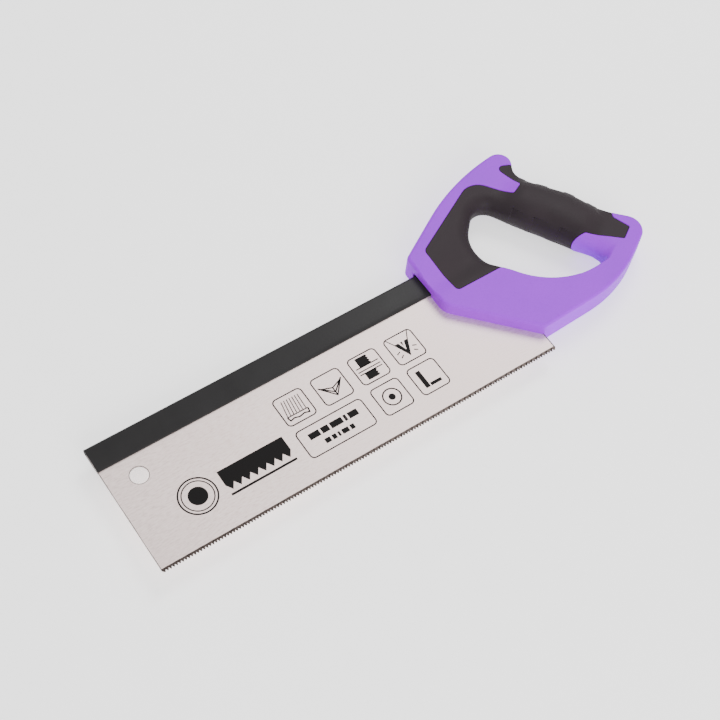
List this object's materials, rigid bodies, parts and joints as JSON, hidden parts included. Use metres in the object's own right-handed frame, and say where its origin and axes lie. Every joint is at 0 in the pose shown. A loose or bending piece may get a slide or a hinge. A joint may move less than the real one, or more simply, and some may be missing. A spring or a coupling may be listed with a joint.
{
  "type": "back saw",
  "caption": "Straight toothed blade with a folded steel back along its top edge, held by screws in a closed two-colour plastic handle with a soft grip.",
  "frame": {"origin": "centre of the part's footprint at the lowest point of the hand grip, with the saw lying on its side", "axes": "+X along the tooth line from toe to heel, +Y from the teeth towards the back, +Z out of the cheek without screw heads"},
  "size_m": [0.4128, 0.1513, 0.028],
  "materials": {
    "blade_steel": "fine ground satin",
    "back_paint": "satin black coating",
    "handle_plastic": "fine moulded texture",
    "grip_rubber": "matte",
    "screw_steel": "bright plated",
    "insert_brass": "turned"
  },
  "bodies": {
    "root": {"blade": "blade_steel", "back": "back_paint", "handle_core": "handle_plastic", "grip_overmould": "grip_rubber", "front_blade_screw": "screw_steel", "middle_blade_screw": "screw_steel", "rear_blade_screw": "screw_steel", "front_threaded_insert": "insert_brass", "middle_threaded_insert": "insert_brass", "rear_threaded_insert": "insert_brass"}
  },
  "joints": []
}
